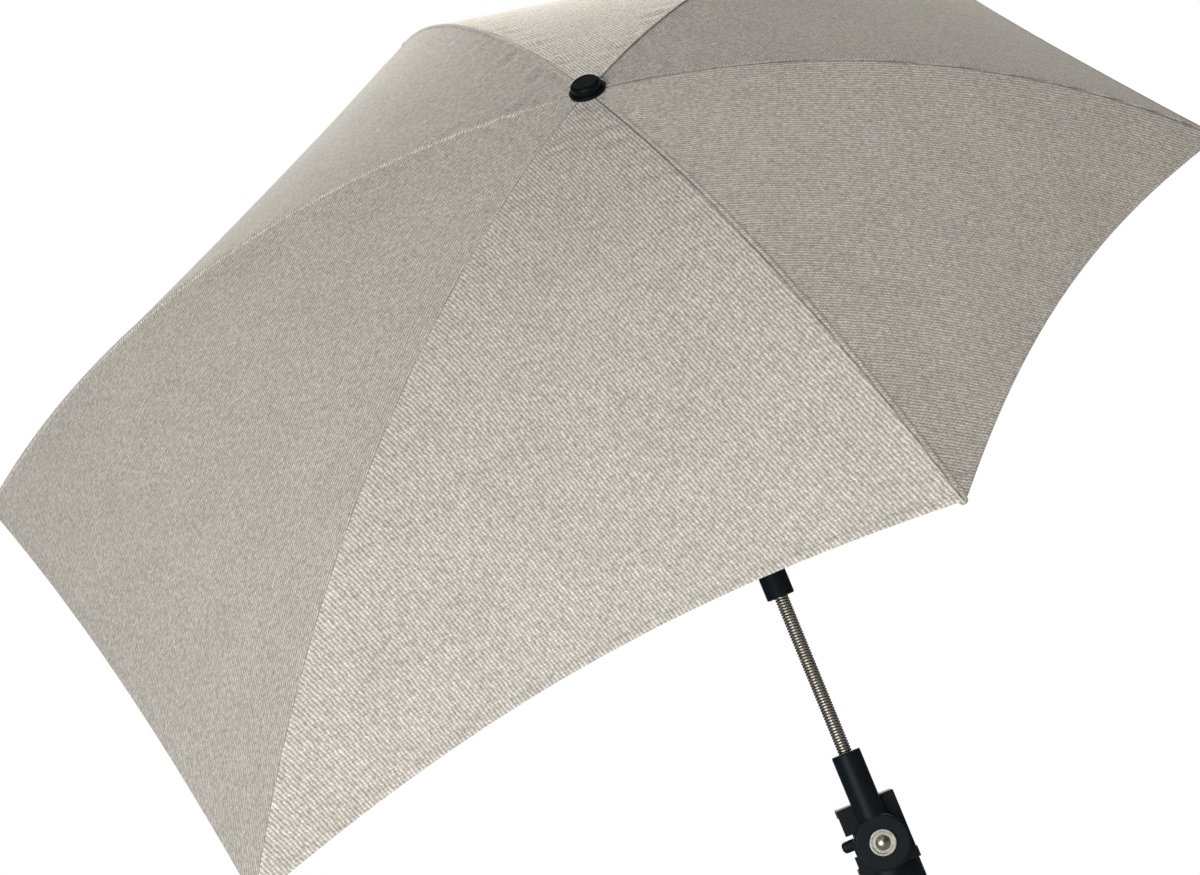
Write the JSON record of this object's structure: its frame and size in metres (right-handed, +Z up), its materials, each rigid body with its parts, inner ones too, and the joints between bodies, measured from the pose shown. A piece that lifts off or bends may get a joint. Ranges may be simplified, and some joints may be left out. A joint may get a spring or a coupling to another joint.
{
  "type": "pram parasol",
  "caption": "Folding fabric parasol with two longer ribs on a tilting mast, a bendable wound metal neck and a screw clamp that grips a pram tube.",
  "frame": {"origin": "centre of the pram tube held by the clamp", "axes": "+X along the clamped tube, +Z up along the lower mast, -Y towards the arm pivot's face"},
  "size_m": [0.7139, 0.4646, 0.6034],
  "materials": {
    "black_plastic": "satin moulded",
    "gloss_black": "semi gloss moulded",
    "nickel": "bright nickel plate",
    "steel": "drawn wire",
    "rubber": "matte",
    "mast_finish": "satin black powder coat",
    "rib_finish": "black lacquered steel wire",
    "tip_plastic": "moulded",
    "canopy_cloth": "fine woven polyester"
  },
  "bodies": {
    "clamp": {"clamp_body": "black_plastic", "upper_jaw_pad": "rubber", "friction_washer": "rubber", "arm_rivet": "nickel", "rivet_nut": "nickel", "lock_spring": "steel"},
    "jaw": {"moving_jaw": "black_plastic", "lower_jaw_pad": "rubber", "clamp_screw": "steel"},
    "knob": {"clamp_knob": "black_plastic", "knob_clip": "steel"},
    "arm_lock": {"lock_button": "black_plastic"},
    "arm": {"socket_arm": "black_plastic"},
    "neck": {"gooseneck_coil": "nickel", "gooseneck_core": "steel"},
    "collar": {"tilt_collar": "black_plastic", "tilt_pin": "steel", "tilt_spring": "steel"},
    "tilt_release": {"tilt_button": "black_plastic"},
    "mast": {"upper_knuckle": "black_plastic", "mast_tube": "mast_finish", "top_notch": "black_plastic", "pivot_wire": "steel", "cap_flange": "gloss_black", "ferrule_cap": "gloss_black"},
    "slider": {"runner": "black_plastic"},
    "slider_catch": {"runner_catch": "black_plastic"},
    "rib_1_set": {"rib_1": "rib_finish", "rib_tip_1": "tip_plastic", "rib_joint_1": "steel", "canopy_1": "canopy_cloth"},
    "stay_1": {"stretcher_1": "rib_finish"},
    "rib_2_set": {"rib_2": "rib_finish", "rib_tip_2": "tip_plastic", "rib_joint_2": "steel", "canopy_2": "canopy_cloth"},
    "stay_2": {"stretcher_2": "rib_finish"},
    "rib_3_set": {"rib_3": "rib_finish", "rib_tip_3": "tip_plastic", "rib_joint_3": "steel", "canopy_3": "canopy_cloth"},
    "stay_3": {"stretcher_3": "rib_finish"},
    "rib_4_set": {"rib_4": "rib_finish", "rib_tip_4": "tip_plastic", "rib_joint_4": "steel", "canopy_4": "canopy_cloth"},
    "stay_4": {"stretcher_4": "rib_finish"},
    "rib_5_set": {"rib_5": "rib_finish", "rib_tip_5": "tip_plastic", "rib_joint_5": "steel", "canopy_5": "canopy_cloth"},
    "stay_5": {"stretcher_5": "rib_finish"},
    "rib_6_set": {"rib_6": "rib_finish", "rib_tip_6": "tip_plastic", "rib_joint_6": "steel", "canopy_6": "canopy_cloth"},
    "stay_6": {"stretcher_6": "rib_finish"}
  },
  "joints": [
    {"name": "jaw_slide", "type": "slide", "parent": "clamp", "child": "jaw", "axis": [0, 0, 1], "range_m": [-0.006, 0.008]},
    {"name": "knob_turn", "type": "hinge", "parent": "clamp", "child": "knob", "pos_m": [0, 0, -0.035], "axis": [0, 0, 1], "range_deg": [-721, 961]},
    {"name": "lock_press", "type": "slide", "parent": "clamp", "child": "arm_lock", "axis": [1, 0, 0], "range_m": [0, 0.0025], "stiffness_N_per_m": 600, "springref_m": -0.001, "deforming": ["lock_spring"]},
    {"name": "arm_swing", "type": "hinge", "parent": "clamp", "child": "arm", "pos_m": [0, -0.0311, -0.0095], "axis": [0, 1, 0], "range_deg": [-90, 90]},
    {"name": "neck_bend_sideways", "type": "hinge", "parent": "arm", "child": "neck", "pos_m": [0, -0.0311, 0.07105], "axis": [0, 1, 0], "range_deg": [-40, 40], "deforming": ["gooseneck_coil", "gooseneck_core"]},
    {"name": "neck_bend_forward", "type": "hinge", "parent": "neck", "child": "collar", "pos_m": [0, -0.0311, 0.12035], "axis": [1, 0, 0], "range_deg": [-40, 40], "deforming": ["gooseneck_coil", "gooseneck_core"]},
    {"name": "tilt_press", "type": "slide", "parent": "collar", "child": "tilt_release", "axis": [0, -1, 0], "range_m": [0, 0.0012], "stiffness_N_per_m": 600, "springref_m": -0.001, "deforming": ["tilt_spring"]},
    {"name": "canopy_tilt", "type": "hinge", "parent": "collar", "child": "mast", "pos_m": [0, -0.0311, 0.1875], "axis": [1, 0, 0], "range_deg": [-87, 13]},
    {"name": "runner_slide", "type": "slide", "parent": "mast", "child": "slider", "axis": [0, 0.6717, -0.7408], "range_m": [0, 0.1524], "deforming": ["canopy_1", "canopy_2", "canopy_3", "canopy_4", "canopy_5", "canopy_6"]},
    {"name": "catch_press", "type": "slide", "parent": "slider", "child": "slider_catch", "axis": [0.2419, 0.7188, 0.6518], "range_m": [0, 0.0009], "stiffness_N_per_m": 600, "springref_m": -0.001},
    {"name": "rib_fold_1", "type": "hinge", "parent": "mast", "child": "rib_1_set", "pos_m": [-0.00636, -0.24566, 0.41465], "axis": [0.7071, -0.5238, -0.475], "range_deg": [0, 61.38]},
    {"name": "stay_fold_1", "type": "hinge", "parent": "rib_1_set", "child": "stay_1", "pos_m": [-0.09392, -0.29824, 0.3423], "axis": [0.7071, -0.5238, -0.475], "range_deg": [-97.53, 0]},
    {"name": "rib_fold_2", "type": "hinge", "parent": "mast", "child": "rib_2_set", "pos_m": [0.00233, -0.24739, 0.41309], "axis": [0.9659, 0.1917, 0.1739], "range_deg": [0, 61.57]},
    {"name": "stay_fold_2", "type": "hinge", "parent": "rib_2_set", "child": "stay_2", "pos_m": [0.03432, -0.32297, 0.31869], "axis": [0.9659, 0.1917, 0.1739], "range_deg": [-98.34, 0]},
    {"name": "rib_fold_3", "type": "hinge", "parent": "mast", "child": "rib_3_set", "pos_m": [0.00869, -0.24267, 0.41736], "axis": [0.2588, 0.7156, 0.6488], "range_deg": [0, 62.83]},
    {"name": "stay_fold_3", "type": "hinge", "parent": "rib_3_set", "child": "stay_3", "pos_m": [0.12705, -0.25045, 0.37873], "axis": [0.2588, 0.7156, 0.6488], "range_deg": [-102.94, 0]},
    {"name": "rib_fold_4", "type": "hinge", "parent": "mast", "child": "rib_4_set", "pos_m": [0.00636, -0.23623, 0.4232], "axis": [-0.7071, 0.5238, 0.475], "range_deg": [0, 62.83]},
    {"name": "stay_fold_4", "type": "hinge", "parent": "rib_4_set", "child": "stay_4", "pos_m": [0.09301, -0.15633, 0.46407], "axis": [-0.7071, 0.5238, 0.475], "range_deg": [-102.94, 0]},
    {"name": "rib_fold_5", "type": "hinge", "parent": "mast", "child": "rib_5_set", "pos_m": [-0.00233, -0.23451, 0.42477], "axis": [-0.9659, -0.1917, -0.1739], "range_deg": [0, 61.57]},
    {"name": "stay_fold_5", "type": "hinge", "parent": "rib_5_set", "child": "stay_5", "pos_m": [-0.03432, -0.13318, 0.49078], "axis": [-0.9659, -0.1917, -0.1739], "range_deg": [-98.34, 0]},
    {"name": "rib_fold_6", "type": "hinge", "parent": "mast", "child": "rib_6_set", "pos_m": [-0.00869, -0.23922, 0.42049], "axis": [-0.2588, -0.7156, -0.6488], "range_deg": [0, 61.38]},
    {"name": "stay_fold_6", "type": "hinge", "parent": "rib_6_set", "child": "stay_6", "pos_m": [-0.12829, -0.2032, 0.42847], "axis": [-0.2588, -0.7156, -0.6488], "range_deg": [-97.53, 0]}
  ],
  "couplings": [
    {"joint": "knob_turn", "follows": "jaw_slide", "rad_per_m": 2094.4},
    {"joint": "rib_fold_1", "follows": "runner_slide", "rad_per_m": 7.0277},
    {"joint": "stay_fold_1", "follows": "runner_slide", "rad_per_m": -11.169},
    {"joint": "rib_fold_2", "follows": "runner_slide", "rad_per_m": 7.0495},
    {"joint": "stay_fold_2", "follows": "runner_slide", "rad_per_m": -11.261},
    {"joint": "rib_fold_3", "follows": "runner_slide", "rad_per_m": 7.1942},
    {"joint": "stay_fold_3", "follows": "runner_slide", "rad_per_m": -11.788},
    {"joint": "rib_fold_4", "follows": "runner_slide", "rad_per_m": 7.1942},
    {"joint": "stay_fold_4", "follows": "runner_slide", "rad_per_m": -11.788},
    {"joint": "rib_fold_5", "follows": "runner_slide", "rad_per_m": 7.0495},
    {"joint": "stay_fold_5", "follows": "runner_slide", "rad_per_m": -11.261},
    {"joint": "rib_fold_6", "follows": "runner_slide", "rad_per_m": 7.0277},
    {"joint": "stay_fold_6", "follows": "runner_slide", "rad_per_m": -11.169}
  ]
}
